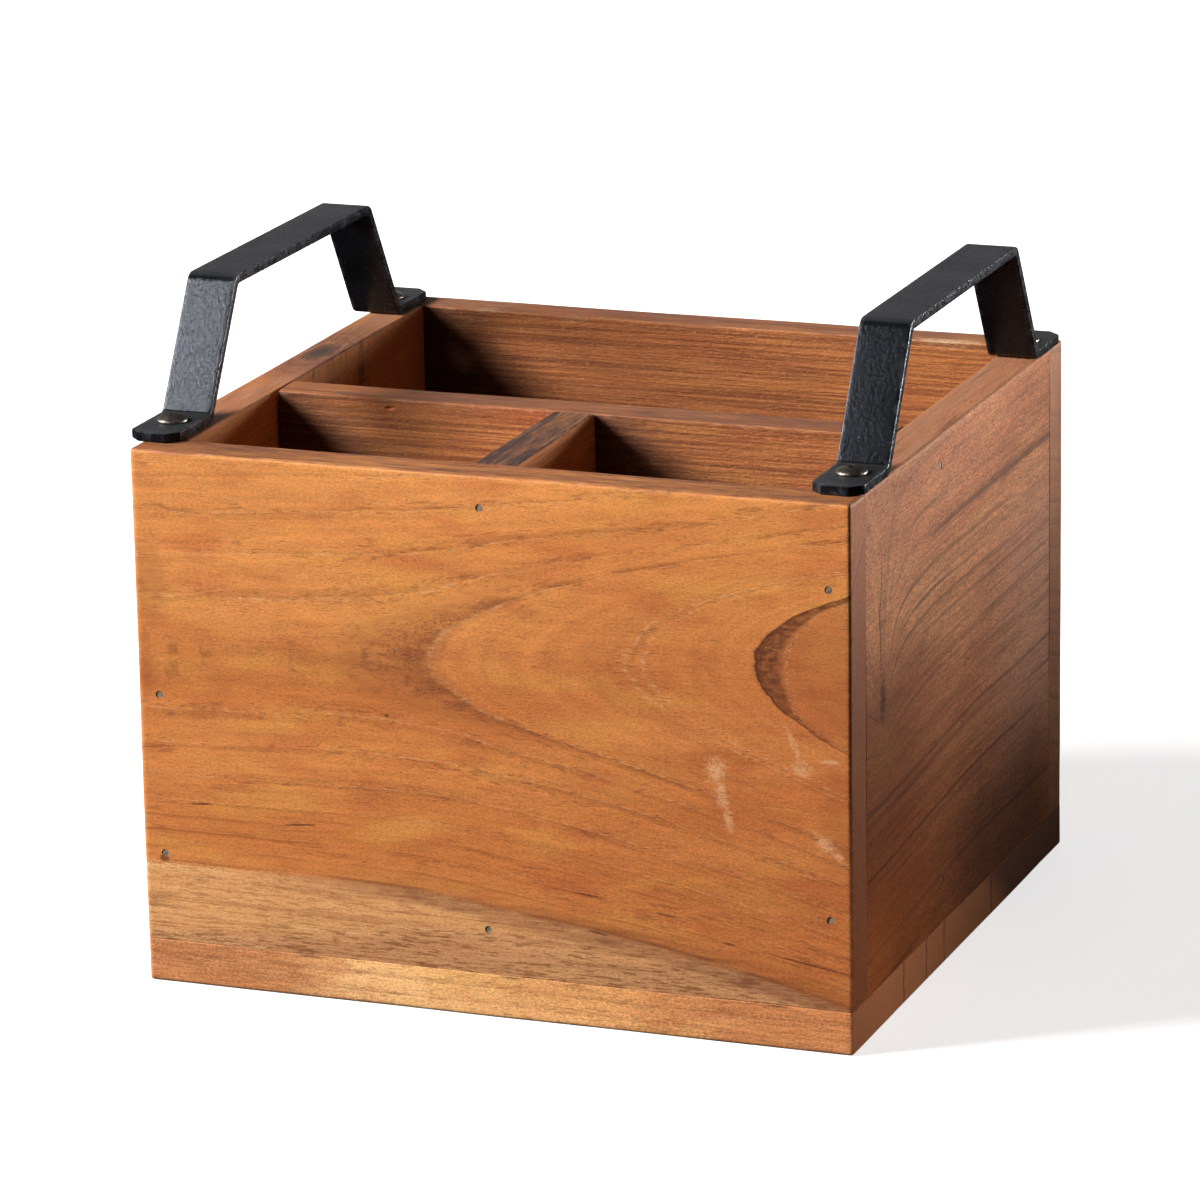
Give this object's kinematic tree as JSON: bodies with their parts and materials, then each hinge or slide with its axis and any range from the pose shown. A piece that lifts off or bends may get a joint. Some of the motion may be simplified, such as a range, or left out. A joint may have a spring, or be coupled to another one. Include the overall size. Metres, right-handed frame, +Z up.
{
  "type": "cutlery holder",
  "caption": "Open-topped wooden caddy with divided compartments for cutlery and bent flat-bar handles screwed along its side walls.",
  "frame": {"origin": "middle of the box's underside", "axes": "+X to the right along the front board, +Y from the front board to the back board, +Z up"},
  "size_m": [0.1871, 0.172, 0.1688],
  "materials": {
    "oiled_wood": "satin oiled hardwood",
    "black_coat": "fine textured black powder coat on steel",
    "screw_metal": "dull nickel plate",
    "brad_metal": "dull oxidised steel"
  },
  "bodies": {
    "root": {"front_board": "oiled_wood", "back_board": "oiled_wood", "left_board": "oiled_wood", "right_board": "oiled_wood", "bottom_board": "oiled_wood", "long_divider": "oiled_wood", "short_divider": "oiled_wood", "left_handle": "black_coat", "right_handle": "black_coat", "left_front_screw": "screw_metal", "left_rear_screw": "screw_metal", "right_front_screw": "screw_metal", "right_rear_screw": "screw_metal", "front_left_brads": "brad_metal", "front_right_brads": "brad_metal", "back_left_brads": "brad_metal", "back_right_brads": "brad_metal", "front_divider_brads": "brad_metal", "cross_divider_brads": "brad_metal", "left_divider_brads": "brad_metal", "right_divider_brads": "brad_metal", "bottom_front_brads": "brad_metal", "bottom_back_brads": "brad_metal", "bottom_left_brads": "brad_metal", "bottom_right_brads": "brad_metal", "bottom_divider_brads": "brad_metal"}
  },
  "joints": []
}
